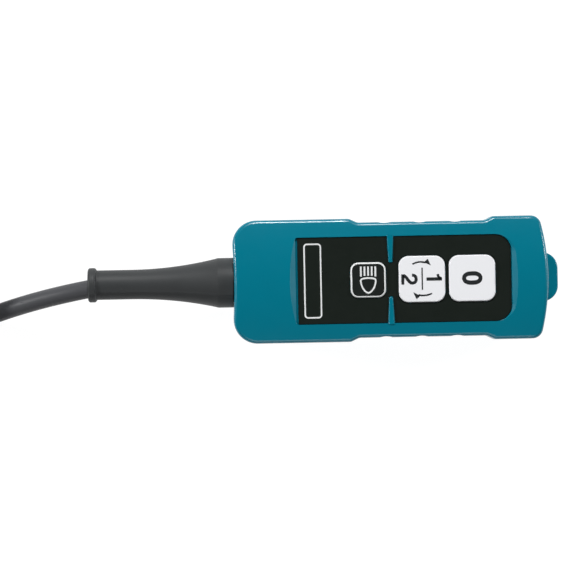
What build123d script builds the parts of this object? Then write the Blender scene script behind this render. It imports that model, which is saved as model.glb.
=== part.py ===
"""Pendant control station: a corded hand remote with three keys, a rubber boot and a sprung belt clip.

It lies on its belt clip, keys up. X runs along the case, from the cable (-X) to the clip's thumb tab (+X),
Y across it and Z up out of the keys. Shapes are drawn with X = 0 at the middle of the case, and every
sub-part is moved by origin_shift when it is written. Millimetres.
"""
import os
from math import atan2, cos, degrees, pi, radians, sin, sqrt, tan

from build123d import *

# ---- case, seen from the front ----
case_length = 120.6
case_width = 47.4
grip_width = 44.4
grip_start, grip_end = -12.2, 36.2      # the narrower stretch that the fingers hold
grip_slope = 3.2                        # length of the slope at each end of that stretch
cable_end_corner = 9.3
key_end_corner = 4.3
slope_round = 2.5
bow_radius = 89.0                       # the key end bows outwards
dish_half, dish_depth = 13.5, 0.4       # the cable end is a little hollow about the boot
notch_first, notch_pitch, notch_count = -1.9, 13.6, 3
notch_radius, notch_depth = 8.0, 0.38
draft = 1.5                             # degrees, on each shell away from the joint

# ---- levels ----
clip_thickness = 2.4
rear_z = 7.0                            # rear face of the case
joint_z = 20.0                          # where the shells meet, and the axis of the cable
front_z = 32.6                          # top of the crowned front
crown_radius = 115.0
wall = 2.4
ceiling_z = 28.4                        # underside of the key plate
floor_z = 30.4                          # floor of the label recess
board_z, board_thickness = 20.4, 1.6
board_top = board_z + board_thickness

# ---- label and its recess ----
label_left, label_right, label_half = -35.4, 45.95, 16.45
label_corner, label_far_corner = 0.6, 6.2
label_thickness = 0.6
recess_left, recess_right, recess_half = -36.2, 46.2, 16.6
ramp_start_z, ramp_angle = 31.42, 28.0
rib_base, rib_tip, rib_inner, rib_z = 2.5, 1.3, 6.5, 31.6

# ---- keys: name, middle, side, corner radius ----
keys = [("light", -8.6, 13.4, 3.0), ("speed", 11.85, 17.65, 3.8), ("off", 31.0, 17.65, 3.8)]
key_top, key_skirt_z, key_travel = 31.8, 27.4, 0.6
key_play = 0.2                          # round each key in its window
switch_size, switch_height = 10.0, 3.5
plunger_radius, plunger_top = 2.8, 26.3
mat_thickness, seal_wall = 1.0, 0.8

# ---- joint between the shells ----
tongue_inset, tongue_height, gasket_height = 1.3, 1.5, 0.8
boot_gap_half = 10.5                    # the tongue stops this far each side of the boot

# ---- screws ----
case_screw_x, case_screw_y = (-51.5, 52.0), (16.5, 17.0)
board_screw_x, board_screw_y = (-27.5, 44.0), 13.5
clamp_x, clamp_y = -47.5, 8.5

# ---- boot and cable ----
cable_radius = 3.5
boot_hole_radius = 7.5
boot_radius, boot_neck_radius, boot_collar_radius = 9.55, 5.68, 6.62
boot_end, boot_collar, boot_neck_end, boot_body_end = -115.9, 3.25, -99.1, -66.1
boot_taper_start, boot_taper_radius = -66.9, 9.28
entry_inner, entry_outer = -42.0, -96.0
bell_mouth_radius = 5.15
groove_room = 0.25                      # the wall groove's outer side stands off the case by this

# The cable's free run, from inside the boot's mouth down to the surface and on to the coil.
run_points = [
    (-96.0, 0.0, 20.0),
    (-107.0, 0.0, 20.0),
    (-121.0, -2.3, 18.6),
    (-136.0, -5.5, 13.2),
    (-151.0, -9.7, 7.2),
    (-166.0, -15.0, 3.9),
    (-180.7, -20.1, 3.5),
]
run_cut = 9.0                           # the run's solid stops this far before it lies in the coil
coil_entry_angle = 289.1                # the turns go round clockwise from here
coil_turn_radii = (35.0, 28.0)          # outer and inner turns; two layers of each
coil_height = 4 * cable_radius
# The last stretch climbs on to the coil: angle about the coil's middle, distance from it, height.
tail_turns = [
    (122.0, 35.0, 10.5),
    (99.0, 35.0, 11.9),
    (76.0, 35.0, 14.6),
    (53.0, 35.0, 16.9),
    (30.0, 35.0, 17.5),
    (7.0, 35.0, 17.5),
    (-17.0, 34.6, 17.5),
    (-42.0, 33.4, 17.8),
    (-68.0, 31.9, 19.0),
    (-95.0, 30.2, 19.7),
]
tail_points = [(r * cos(radians(angle)), r * sin(radians(angle)), z) for angle, r, z in tail_turns]
plug_radius, plug_body, plug_boot = 5.5, 25.0, 9.0
shroud_radius, shroud_length, shroud_wall = 4.5, 9.0, 0.6
tie_angle, tie_width, tie_thickness = 169.1, 11.0, 1.2

# ---- belt clip ----
clip_pin_x, clip_pin_z, clip_pin_radius = 40.0, 4.7, 1.0
clip_tab_x, clip_tab_half, clip_tab_corner = 66.1, 9.6, 6.2
clip_jaw_x, clip_jaw_half = -25.0, 7.8
clip_lug_inner, clip_lug_radius = 5.6, 2.1
clip_ear_inner, clip_ear_outer, clip_ear_radius = 9.8, 12.5, 2.5
spring_wire, spring_radius, spring_half, spring_turns = 0.8, 1.8, 4.4, 8

half_length, half_width, half_grip = case_length / 2, case_width / 2, grip_width / 2
plug_heading = degrees(
    atan2(tail_points[-1][1] - tail_points[-2][1], tail_points[-1][0] - tail_points[-2][0])
)
origin_shift = -(clip_tab_x - half_length) / 2
coil_x = run_points[-1][0] - coil_turn_radii[0] * cos(radians(coil_entry_angle))
coil_y = run_points[-1][1] - coil_turn_radii[0] * sin(radians(coil_entry_angle))
coil_inner = coil_turn_radii[1] - cable_radius
coil_outer = coil_turn_radii[0] + cable_radius


# ---------------------------------------------------------------- small helpers
def at(z, sketch):
    """The sketch, lifted to a level."""
    return Pos(0, 0, z) * sketch


def post(x, y, z_low, z_high, radius):
    """An upright round bar between two levels."""
    return Pos(x, y, z_low) * Cylinder(radius, z_high - z_low, align=(Align.CENTER, Align.CENTER, Align.MIN))


def bar_x(x_low, x_high, radius, y=0.0, z=joint_z):
    """A round bar along X."""
    return Pos((x_low + x_high) / 2, y, z) * Rot(0, 90, 0) * Cylinder(radius, x_high - x_low)


def bar_y(y_low, y_high, radius, x, z):
    """A round bar along Y."""
    return Pos(x, (y_low + y_high) / 2, z) * Rot(90, 0, 0) * Cylinder(radius, y_high - y_low)


def block(x_low, x_high, y_low, y_high, z_low, z_high):
    """A box between its own limits."""
    return Pos((x_low + x_high) / 2, (y_low + y_high) / 2, (z_low + z_high) / 2) * Box(
        x_high - x_low, y_high - y_low, z_high - z_low
    )


def square(x, side, corner):
    """A rounded square on the case's centre line."""
    return Pos(x, 0, 0) * RectangleRounded(side, side, corner)


def both_sides(y):
    return (-y, y)


def screw_places():
    """The four case screws."""
    return [(x, side) for x, y in zip(case_screw_x, case_screw_y) for side in both_sides(y)]


def board_screw_places():
    return [(x, side) for x in board_screw_x for side in both_sides(board_screw_y)]


def cap_screw(x, y, z_seat, head_radius, head_height, shank_radius, shank_length, up=1):
    """A pan-head screw whose head lies under (up=1) or over (up=-1) its seat."""
    head = Cylinder(head_radius, head_height, align=(Align.CENTER, Align.CENTER, Align.MAX))
    head = fillet(head.faces().sort_by(Axis.Z)[0].edges(), head_height * 0.45)
    slot = Pos(0, 0, -head_height) * Box(head_radius * 1.2, head_radius * 0.28, head_height * 0.9)
    cross = slot + Rot(0, 0, 90) * slot
    shank = Cylinder(shank_radius, shank_length, align=(Align.CENTER, Align.CENTER, Align.MIN))
    shank = chamfer(shank.faces().sort_by(Axis.Z)[-1].edges(), shank_radius * 0.5)
    screw = (head - cross) + shank
    return Pos(x, y, z_seat) * (screw if up > 0 else Rot(180, 0, 0) * screw)


# ---------------------------------------------------------------- case outline
def case_plan():
    """The case's outline at the joint, without the finger notches."""
    bow_centre = half_length - bow_radius
    bow_meets_side = bow_centre + sqrt(bow_radius**2 - half_width**2)
    side = [
        (-half_length, half_width),
        (grip_start - grip_slope, half_width),
        (grip_start, half_grip),
        (grip_end, half_grip),
        (grip_end + grip_slope, half_width),
        (bow_meets_side, half_width),
    ]
    other_side = [(x, -y) for x, y in reversed(side)]
    outline = [
        Line((-half_length, dish_half), side[0]),
        Polyline(*side),
        ThreePointArc(side[-1], (half_length, 0), other_side[0]),
        Polyline(*other_side),
        Line(other_side[-1], (-half_length, -dish_half)),
        ThreePointArc((-half_length, -dish_half), (dish_depth - half_length, 0), (-half_length, dish_half)),
    ]
    plan = make_face(outline)
    corners = plan.vertices().filter_by(lambda v: abs(v.Y) > half_grip - 1)
    cable_end = corners.filter_by(lambda v: v.X < 1 - half_length)
    key_end = corners.filter_by(lambda v: v.X > bow_meets_side - 1)
    slopes = corners.filter_by(lambda v: 1 - half_length <= v.X <= bow_meets_side - 1)
    plan = fillet(slopes, slope_round)
    plan = fillet(near(plan, cable_end), cable_end_corner)
    return fillet(near(plan, key_end), key_end_corner)


def near(shape, points):
    """The shape's vertices that lie at the given ones."""
    return shape.vertices().filter_by(lambda v: any((Vector(v) - Vector(p)).length < 0.01 for p in points))


plan = case_plan()
inner_plan = offset(plan, -wall)
tongue_plan = offset(plan, -tongue_inset) - inner_plan


def notches(z_joint_side, z_far_side):
    """The finger notches of one shell, as cones that follow its draft."""
    height = abs(z_far_side - z_joint_side)
    grown = notch_radius + height * tan(radians(draft))
    up = z_far_side > z_joint_side
    low, high = (notch_radius, grown) if up else (grown, notch_radius)
    cones = []
    for i in range(notch_count):
        for y in both_sides(half_grip + notch_radius - notch_depth):
            cone = Cone(low, high, height, align=(Align.CENTER, Align.CENTER, Align.MIN))
            cones.append(Pos(notch_first + i * notch_pitch, y, min(z_joint_side, z_far_side)) * cone)
    return cones


def boot_space():
    """Room round the boot where the tongue, its groove and the gasket stop."""
    return block(-half_length - 1, -50, -boot_gap_half, boot_gap_half, joint_z - 1, ceiling_z)


# ---------------------------------------------------------------- label recess
def panel_plan(left, right, half, corner, far_corner):
    """A rectangle with small corners at the cable end and large ones at the key end."""
    panel = Pos((left + right) / 2, 0) * Rectangle(right - left, 2 * half)
    panel = fillet(panel.vertices().sort_by(Axis.X)[:2], corner)
    return fillet(panel.vertices().sort_by(Axis.X)[-2:], far_corner)


def rib_plan(side, grow=0.0):
    """A rib beside the light key, narrowing towards the centre line; side is -1 or 1."""
    outer = recess_half + 0.4
    shape = Polygon(
        (-rib_base / 2 - grow, outer),
        (rib_base / 2 + grow, outer),
        (rib_tip / 2 + grow, rib_inner - grow),
        (-rib_tip / 2 - grow, rib_inner - grow),
        align=None,
    )
    shape = fillet(shape.vertices().sort_by(Axis.Y)[:2], 0.45)
    return shape if side > 0 else mirror(shape, Plane.XZ)


def recess():
    """The recess with upright walls, and the ramps that rise from it at both ends."""
    plan_at_floor = panel_plan(recess_left, recess_right, recess_half, 0.8, label_far_corner + 0.2)
    well = extrude(at(floor_z, plan_at_floor), front_z + 1 - floor_z)
    rise = front_z + 0.2 - ramp_start_z
    out = rise / tan(radians(ramp_angle))
    plan_at_top = panel_plan(
        recess_left - out, recess_right + out, recess_half + out, 0.8 + out, label_far_corner + 0.2 + out
    )
    ramps = loft([at(ramp_start_z, plan_at_floor), at(ramp_start_z + rise, plan_at_top)], ruled=True)
    return well + ramps


# ---------------------------------------------------------------- shells
def drafted(z_far):
    """The case's outline at the joint, narrowing by the draft towards another level."""
    narrowing = abs(z_far - joint_z) * tan(radians(draft))
    return loft([at(joint_z, plan), at(z_far, offset(plan, -narrowing))], ruled=True)


def front_shell():
    shell = drafted(front_z + 1)
    shell &= bar_x(-90, 90, crown_radius, z=front_z - crown_radius)
    shell = fillet(shell.faces().sort_by(Axis.Z)[-1].edges(), 1.5)
    for cone in notches(joint_z, front_z + 1):
        shell -= cone
    shell -= recess()
    for side in (-1, 1):
        rib = extrude(at(floor_z - 0.5, rib_plan(side)), rib_z - floor_z + 0.5, dir=(0, 0, 1))
        rib = fillet(rib.faces().sort_by(Axis.Z)[-1].edges().sort_by(Axis.Y, reverse=side < 0)[:-1], 0.35)
        shell += rib
    shell -= extrude(at(joint_z, inner_plan), ceiling_z - joint_z)
    shell -= block(dish_depth + wall - half_length, -41, -12, 12, ceiling_z - 0.01, front_z - wall)
    groove = extrude(at(joint_z, tongue_plan), tongue_height + gasket_height)
    shell -= groove - boot_space()
    for name, x, side, corner in keys:
        shell -= extrude(at(ceiling_z - 0.1, square(x, side + 2 * key_play, corner + key_play)), 3)
    for x, y in screw_places():
        shell += post(x, y, joint_z, ceiling_z + 0.5, 3.2)
        shell -= post(x, y, joint_z, ceiling_z - 1, 1.5)
    for x, y in board_screw_places():
        shell += post(x, y, board_top, ceiling_z + 0.5, 2.6)
        shell -= post(x, y, board_top, ceiling_z - 1, 1.15)
    shell -= bar_x(-half_length - 1, 2 * wall - half_length, boot_hole_radius)
    return shell


def rear_shell():
    depth = joint_z - rear_z
    shell = drafted(rear_z)
    shell = fillet(shell.faces().sort_by(Axis.Z)[0].edges(), 3.0)
    for cone in notches(joint_z, rear_z - 1):
        shell -= cone
    shell -= extrude(at(rear_z + wall, inner_plan), depth)
    tongue = extrude(at(joint_z - 0.5, tongue_plan), tongue_height + 0.5)
    shell += tongue - boot_space()
    for x, y in screw_places():
        shell += post(x, y, rear_z + 1, joint_z, 4.4) & extrude(at(rear_z, offset(plan, -1)), depth)
        shell -= post(x, y, rear_z - 1, rear_z + 4.5, 3.3)
        shell -= post(x, y, rear_z, joint_z + 1, 1.7)
    shell += block(clamp_x - 2.5, clamp_x + 2.5, -clamp_y, clamp_y, rear_z + 1, joint_z)
    for y in both_sides(clamp_y):
        shell += post(clamp_x, y, rear_z + 1, joint_z, 3.0)
        shell -= post(clamp_x, y, joint_z - 8, joint_z + 1, 1.3)
    for x in (-30, -12, 6, 24, 46):
        shell += block(x - 0.6, x + 0.6, -half_grip + wall, half_grip - wall, rear_z + 1, rear_z + wall + 1.6)
    shell -= bar_x(-half_length - 1, 2 * wall - half_length, boot_hole_radius)
    shell -= bar_x(clamp_x - 6, clamp_x + 6, cable_radius)
    for side in (-1, 1):
        y_low, y_high = sorted((side * clip_ear_inner, side * clip_ear_outer))
        ear = bar_y(y_low, y_high, clip_ear_radius, clip_pin_x, clip_pin_z)
        ear += block(
            clip_pin_x - clip_ear_radius, clip_pin_x + clip_ear_radius, y_low, y_high, clip_pin_z, rear_z + 0.5
        )
        shell += ear
    return shell - bar_y(-20, 20, clip_pin_radius, clip_pin_x, clip_pin_z)


def shell_gasket():
    ring = extrude(at(joint_z + tongue_height, tongue_plan), gasket_height)
    return ring - boot_space()


def case_screws():
    return [cap_screw(x, y, rear_z + 4.5, 2.8, 2.2, 1.45, 14.5) for x, y in screw_places()]


# ---------------------------------------------------------------- keypad
def face_label():
    label = extrude(
        at(floor_z, panel_plan(label_left, label_right, label_half, label_corner, label_far_corner)),
        label_thickness,
    )
    label = chamfer(label.faces().sort_by(Axis.Z)[-1].edges(), 0.15)
    for name, x, side, corner in keys:
        label -= extrude(at(floor_z - 1, square(x, side + 0.5, corner + 0.25)), 3)
    for side in (-1, 1):
        label -= extrude(at(floor_z - 1, rib_plan(side, grow=0.15)), 3, dir=(0, 0, 1))
    return label


def key_cap(x, side, corner):
    """A hollow cap with a pusher in the middle, held in by a lug on each long side."""
    cap = extrude(at(key_skirt_z, square(x, side, corner)), key_top - key_skirt_z)
    cap = fillet(cap.faces().sort_by(Axis.Z)[-1].edges(), 0.5)
    lug = side / 2 + 0.9
    cap += block(x - side * 0.28, x + side * 0.28, -lug, lug, key_skirt_z, key_skirt_z + 0.85)
    cap -= extrude(at(key_skirt_z - 1, square(x, side - 2.6, corner - 1)), 3.9)
    return cap + post(x, 0, plunger_top, key_top - 1, 3.0)


def key_seal(x, side):
    """The sloping rubber wall between the mat and one key."""
    foot, head = side + 0.6, side - 0.6
    z_low, z_high = board_top + mat_thickness, key_skirt_z
    outside = loft([at(z_low, square(x, foot, 2.6)), at(z_high, square(x, head, 2.4))], ruled=True)
    inside = loft(
        [at(z_low, square(x, foot - 2 * seal_wall, 1.8)), at(z_high, square(x, head - 2 * seal_wall, 1.6))],
        ruled=True,
    )
    return outside - inside


def key_mat():
    """The rubber sheet on the board, open round each switch."""
    left, right, half = -17.2, 41.4, 11.2
    mat = extrude(
        at(board_top, Pos((left + right) / 2, 0) * RectangleRounded(right - left, 2 * half, 2)), mat_thickness
    )
    for name, x, side, corner in keys:
        mat -= extrude(at(board_top - 1, square(x, side + 0.6 - 2 * seal_wall, 1.8)), 4)
    return mat


def switch_pins(x):
    return [(x + dx, dy) for dx in (-3.6, 3.6) for dy in (-4.0, 4.0)]


def switch_body(x):
    body = Pos(x, 0, board_top) * Box(
        switch_size, switch_size, switch_height, align=(Align.CENTER, Align.CENTER, Align.MIN)
    )
    body = chamfer(body.edges().filter_by(Axis.Z), 0.8)
    body -= post(x, 0, board_top + 1.8, board_top + 5, plunger_radius + 0.1)
    for px, py in switch_pins(x):
        body += post(px, py, board_z - 0.8, board_top + 0.5, 0.45)
    return body


def switch_plunger(x):
    plunger = post(x, 0, board_top + 2.6, plunger_top, plunger_radius)
    return fillet(plunger.faces().sort_by(Axis.Z)[-1].edges(), 0.25)


# ---------------------------------------------------------------- electronics
board_left, board_right, board_half = -31.0, 47.4, 17.0
header_x, header_depth, header_half = -19.0, 7.0, 7.0
header_low = 14.4
wire_pin_y = (-3.75, -1.25, 1.25, 3.75)
wire_z = 17.4


def main_board():
    board = block(board_left, board_right, -board_half, board_half, board_z, board_top)
    board = fillet(board.edges().filter_by(Axis.Z), 1.5)
    for x, y in board_screw_places():
        board -= post(x, y, board_z - 1, board_top + 1, 1.3)
    for name, x, side, corner in keys:
        for px, py in switch_pins(x):
            board -= post(px, py, board_z - 1, board_top + 1, 0.5)
    return board


def board_screws():
    return [cap_screw(x, y, board_z, 2.2, 1.6, 1.1, 6.2) for x, y in board_screw_places()]


def control_chip():
    """A flat chip with a row of legs on each long side."""
    chip = Pos(-23.0, 0, board_top + 0.15) * Box(7, 9, 1.4, align=(Align.CENTER, Align.CENTER, Align.MIN))
    chip = chamfer(chip.faces().sort_by(Axis.Z)[-1].edges(), 0.25)
    for i in range(7):
        y = (i - 3) * 1.2
        for out in (-1, 1):
            chip += Pos(-23.0 + out * 4.0, y, board_top + 0.3) * Box(1.4, 0.5, 0.6)
    return chip


def board_components():
    """Small parts soldered on the board: a can capacitor and rows of chip resistors on both faces."""
    can = post(-21.5, -10.0, board_top, board_top + 5.4, 3.1)
    group = [fillet(can.faces().sort_by(Axis.Z)[-1].edges(), 0.6)]
    group.append(block(-24.0, -19.0, 7.5, 12.0, board_top, board_top + 2.6))
    for i in range(6):
        x = -14.0 + i * 9.5
        for y in both_sides(14.4):
            group.append(block(x, x + 3.2, y - 0.8, y + 0.8, board_top, board_top + 0.8))
    for i in range(5):
        x = -8.0 + i * 9.0
        group.append(block(x, x + 3.2, -1.0, 0.6, board_z - 0.9, board_z))
    group.append(block(0.0, 9.0, 6.6, 12.4, board_z - 1.8, board_z))
    return group


def board_header():
    """The cable's socket, on the back of the board, open towards the cable, with its four pins."""
    body = block(header_x - header_depth, header_x, -header_half, header_half, header_low, board_z)
    body -= block(header_x - header_depth - 1, header_x - 2, -6, 6, header_low + 1, board_z - 1.2)
    for y in wire_pin_y:
        body += Pos(header_x - 3.4, y, wire_z) * Box(4.0, 0.64, 0.64)
    return body


def wire_plug():
    """The plug on the cable's cores: its nose is in the header."""
    nose_end, nose_start, back = header_x - 2.2, header_x - header_depth, header_x - header_depth - 6.5
    plug = block(nose_start - 0.5, nose_end, -5.9, 5.9, header_low + 1.2, board_z - 1.4)
    plug += block(back, nose_start - 0.1, -6.6, 6.6, header_low + 0.6, board_z - 0.8)
    for y in wire_pin_y:
        plug -= Pos(header_x - 4.0, y, wire_z) * Box(4.4, 1.0, 1.0)
    return plug


def core_wire(index):
    """One insulated core, from the stripped cable to the plug."""
    start = [(-1.1, 21.1), (-1.1, 18.9), (1.1, 18.9), (1.1, 21.1)][index]
    back = header_x - header_depth - 6.5
    end_y = wire_pin_y[index]
    points = [
        (entry_inner, *start),
        (entry_inner + 2.0, *start),
        (back - 2.0, end_y, wire_z),
        (back, end_y, wire_z),
    ]
    route = FilletPolyline(*points, radius=2.5)
    return sweep(Plane(route @ 0, z_dir=route % 0) * Circle(0.7), path=route)


# ---------------------------------------------------------------- cable end of the case
def cable_boot():
    """The rubber strain relief: a flange in the case wall, a long taper and a rolled collar."""
    out_face = dish_depth - half_length - groove_room
    in_face = dish_depth + wall - half_length + 0.05
    inner_end = in_face + 2.2
    mouth = boot_end
    rise_start = (boot_neck_end, boot_neck_radius)
    taper_end = (boot_taper_start, boot_taper_radius)
    middle_x = (boot_neck_end + boot_taper_start) / 2
    run = boot_taper_start - boot_neck_end
    sweep_radius = (run**2 + (boot_taper_radius - boot_neck_radius) ** 2) / (
        2 * (boot_taper_radius - boot_neck_radius)
    )
    middle_r = boot_neck_radius + sweep_radius - sqrt(sweep_radius**2 - (run / 2) ** 2)
    bell_run = entry_outer - mouth
    bell_rise = bell_mouth_radius - cable_radius
    bell_radius = (bell_run**2 + bell_rise**2) / (2 * bell_rise)
    bell_middle = cable_radius + bell_radius - sqrt(bell_radius**2 - (bell_run / 2) ** 2)
    outline = [
        Polyline(
            (entry_outer, cable_radius),
            (inner_end, cable_radius),
            (inner_end, boot_radius),
            (in_face, boot_radius),
            (in_face, boot_hole_radius),
            (out_face, boot_hole_radius),
            (out_face, boot_radius),
            (boot_body_end, boot_radius),
            taper_end,
        ),
        ThreePointArc(taper_end, (middle_x, middle_r), rise_start),
        Polyline(
            rise_start,
            (mouth + boot_collar, boot_neck_radius),
            (mouth + boot_collar, boot_collar_radius),
            (mouth, boot_collar_radius),
            (mouth, bell_mouth_radius),
        ),
        ThreePointArc(
            (mouth, bell_mouth_radius), (entry_outer - bell_run / 2, bell_middle), (entry_outer, cable_radius)
        ),
    ]
    section = Plane.XZ * make_face(outline)
    boot = revolve(section, Axis.X)
    collar_edges = boot.edges().filter_by(
        lambda e: e.geom_type == GeomType.CIRCLE and abs(e.radius - boot_collar_radius) < 0.01
    )
    return Pos(0, 0, joint_z) * fillet(collar_edges, 0.9)


def cable_entry():
    """The cable where the boot and the clamp hold it."""
    return bar_x(entry_outer, entry_inner, cable_radius)


def cable_clamp():
    clamp = block(clamp_x - 3.5, clamp_x + 3.5, -clamp_y - 3.2, clamp_y + 3.2, joint_z, joint_z + 2.4)
    clamp = fillet(clamp.edges().filter_by(Axis.Z), 1.5)
    clamp += bar_x(clamp_x - 3.5, clamp_x + 3.5, 5.6) & block(-60, 0, -9, 9, joint_z, joint_z + 9)
    clamp -= bar_x(clamp_x - 6, clamp_x + 6, cable_radius)
    for y in both_sides(clamp_y):
        clamp -= post(clamp_x, y, joint_z - 1, joint_z + 4, 1.45)
    return clamp


def clamp_screws():
    return [
        cap_screw(clamp_x, y, joint_z + 2.4, 2.4, 1.8, 1.25, 9.0, up=-1) for y in both_sides(clamp_y)
    ]


# ---------------------------------------------------------------- belt clip
def belt_clip():
    """A flat lever: jaw at the cable end, thumb tab past the key end, two lugs on the pin."""
    shape = Polygon(
        (clip_jaw_x, -clip_jaw_half),
        (clip_pin_x - 14, -clip_tab_half),
        (clip_tab_x, -clip_tab_half),
        (clip_tab_x, clip_tab_half),
        (clip_pin_x - 14, clip_tab_half),
        (clip_jaw_x, clip_jaw_half),
        align=None,
    )
    shape = fillet(shape.vertices().sort_by(Axis.X)[-2:], clip_tab_corner)
    shape = fillet(shape.vertices().sort_by(Axis.X)[:2], 5.0)
    clip = extrude(shape, clip_thickness)
    clip = fillet(clip.faces().sort_by(Axis.Z)[0].edges() + clip.faces().sort_by(Axis.Z)[-1].edges(), 0.6)
    lip_top = rear_z - 0.15
    lip = Polygon(
        (clip_jaw_x + 0.8, 1.6),
        (clip_jaw_x + 5.6, 1.6),
        (clip_jaw_x + 3.6, lip_top),
        (clip_jaw_x + 1.8, lip_top),
        align=None,
    )
    clip += Pos(0, 6.0, 0) * extrude(Plane.XZ * lip, 12.0)
    for side in (-1, 1):
        y_low, y_high = sorted((side * clip_lug_inner, side * clip_tab_half))
        clip += bar_y(y_low, y_high, clip_lug_radius, clip_pin_x, clip_pin_z)
        clip += block(
            clip_pin_x - clip_lug_radius, clip_pin_x + clip_lug_radius, y_low, y_high, 1.5, clip_pin_z
        )
    return clip - bar_y(-20, 20, clip_pin_radius + 0.05, clip_pin_x, clip_pin_z)


def clip_pin():
    pin = bar_y(-clip_ear_outer, clip_ear_outer, clip_pin_radius, clip_pin_x, clip_pin_z)
    return chamfer(pin.edges().filter_by(GeomType.CIRCLE), 0.25)


def clip_spring():
    """A torsion spring round the pin, between the clip's lugs."""
    pitch = 2 * spring_half / spring_turns
    coil = Helix(pitch, 2 * spring_half, spring_radius)
    wire = sweep(Plane(coil @ 0, z_dir=coil % 0) * Circle(spring_wire / 2), path=coil, is_frenet=True)
    return Pos(clip_pin_x, spring_half, clip_pin_z) * Rot(90, 0, 0) * wire


# ---------------------------------------------------------------- free cable
def turn_at(points, i):
    """How far the route turns at one of its points, in degrees."""
    before = Vector(*points[i]) - Vector(*points[i - 1])
    after = Vector(*points[i + 1]) - Vector(*points[i])
    return before.get_angle(after)


def arc_radii(points):
    """The largest arc that each corner's two runs allow."""
    radii = []
    for i in range(1, len(points) - 1):
        runs = [(Vector(*points[j + 1]) - Vector(*points[j])).length for j in (i - 1, i)]
        radii.append(0.45 * min(runs) / tan(radians(turn_at(points, i) / 2)))
    return radii


def tube(name, points):
    """A cable along straight runs joined by tangent arcs; prints its radii and compares its volume."""
    radii = arc_radii(points)
    route = FilletPolyline(*points, radius=radii)
    solid = sweep(Plane(route @ 0, z_dir=route % 0) * Circle(cable_radius), path=route)
    expected = pi * cable_radius**2 * route.length
    print(f"{name}: {route.length:.1f} mm, arc radii", [round(r) for r in radii], end=", ")
    print(f"volume {solid.volume:.0f} against {expected:.0f}")
    return solid


def cable_run():
    last, before = Vector(*run_points[-1]), Vector(*run_points[-2])
    end = last + (before - last).normalized() * run_cut
    points = run_points[:-1] + [tuple(end)]
    return tube("cable_run", points) - coil_ring()


def coil_section(inner, outer, low, high):
    return Pos((inner + outer) / 2, 0, (low + high) / 2) * Rot(90, 0, 0) * Rectangle(outer - inner, high - low)


def coil_ring():
    """The outer shape of the coil: two turns wide and two high."""
    ring = revolve(coil_section(coil_inner, coil_outer, 0, coil_height), Axis.Z)
    ring = fillet(ring.edges(), cable_radius * 0.8)
    return Pos(coil_x, coil_y, 0) * ring


def coil_tie():
    """A strap round the coil; the turns lift over it."""
    arc = tie_width / ((coil_inner + coil_outer) / 2) * 180 / pi
    t = tie_thickness
    band = revolve(coil_section(coil_inner - t, coil_outer + t, 0, coil_height + t), Axis.Z, revolution_arc=arc)
    hole = revolve(coil_section(coil_inner, coil_outer, t, coil_height), Axis.Z, revolution_arc=arc)
    return Pos(coil_x, coil_y, 0) * Rot(0, 0, tie_angle - arc / 2) * (band - hole)


def cable_coil():
    return coil_ring() - coil_tie()


def cable_tail():
    points = [(coil_x + x, coil_y + y, z) for x, y, z in tail_points]
    return tube("cable_tail", points) - coil_ring()


def along_plug(shape):
    """Places a shape drawn along +X so that it starts where the cable ends."""
    x, y, z = tail_points[-1]
    return Pos(coil_x + x, coil_y + y, z) * Rot(0, 0, plug_heading) * shape


def plug_overmould():
    """The moulded body: a tapered cable boot with grooves, and a grip with a flat front."""
    body = revolve(
        Polygon(
            (0, 0), (0, 3.9), (plug_boot, 4.6), (plug_boot + 1.2, plug_radius), (plug_body, plug_radius),
            (plug_body, 0), align=None,
        ),
        Axis.X,
    )
    for i in range(3):
        body -= bar_x(1.6 + 2.4 * i, 2.6 + 2.4 * i, 9, z=0) - bar_x(1.6 + 2.4 * i, 2.6 + 2.4 * i, 3.6, z=0)
    front = body.faces().sort_by(Axis.X)[-1].edges()
    return along_plug(fillet(front, 0.8))


def plug_shroud():
    tube_end = plug_body + shroud_length
    shroud = bar_x(plug_body, tube_end, shroud_radius, z=0)
    shroud -= bar_x(plug_body - 1, tube_end + 1, shroud_radius - shroud_wall, z=0)
    key = block(plug_body, tube_end - 1, -0.7, 0.7, shroud_radius - shroud_wall - 0.7, shroud_radius - 0.2)
    return along_plug(shroud + key)


def plug_insert():
    insert = bar_x(plug_body, plug_body + 3, shroud_radius - shroud_wall, z=0)
    return along_plug(insert - block(plug_body - 1, plug_body + 4, -0.8, 0.8, 3.1, 5))


def plug_pins():
    pins = []
    for i in range(5):
        angle = radians(i * 60 - 30)
        y, z = 2.1 * cos(angle), 2.1 * sin(angle)
        pins.append(along_plug(bar_x(plug_body + 3, plug_body + 7.5, 0.4, y=y, z=z)))
    return pins


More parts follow.
